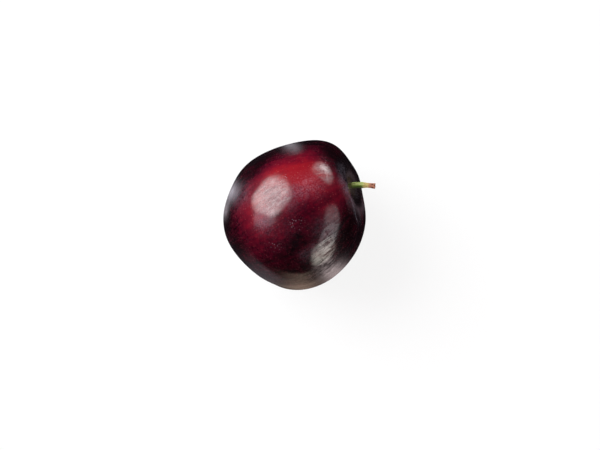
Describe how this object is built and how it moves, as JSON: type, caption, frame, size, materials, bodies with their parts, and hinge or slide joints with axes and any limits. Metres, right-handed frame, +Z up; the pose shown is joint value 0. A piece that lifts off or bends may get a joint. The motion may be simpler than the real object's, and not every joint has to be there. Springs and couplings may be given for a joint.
{
  "type": "plum",
  "caption": "Ripe dark red plum with its stem in its hollow, lying on one cheek on a small flat spot.",
  "frame": {"origin": "middle of the small flat spot on the cheek that the plum rests on", "axes": "+Z up from the surface; the stem leaves towards +X, tilted 13 degrees up and 27 degrees towards +Y; the seam of the fruit faces -Y"},
  "size_m": [0.0608, 0.06, 0.055],
  "materials": {
    "skin": "gloss",
    "stem": "matte"
  },
  "bodies": {
    "root": {"fruit": "skin", "stem": "stem"}
  },
  "joints": []
}
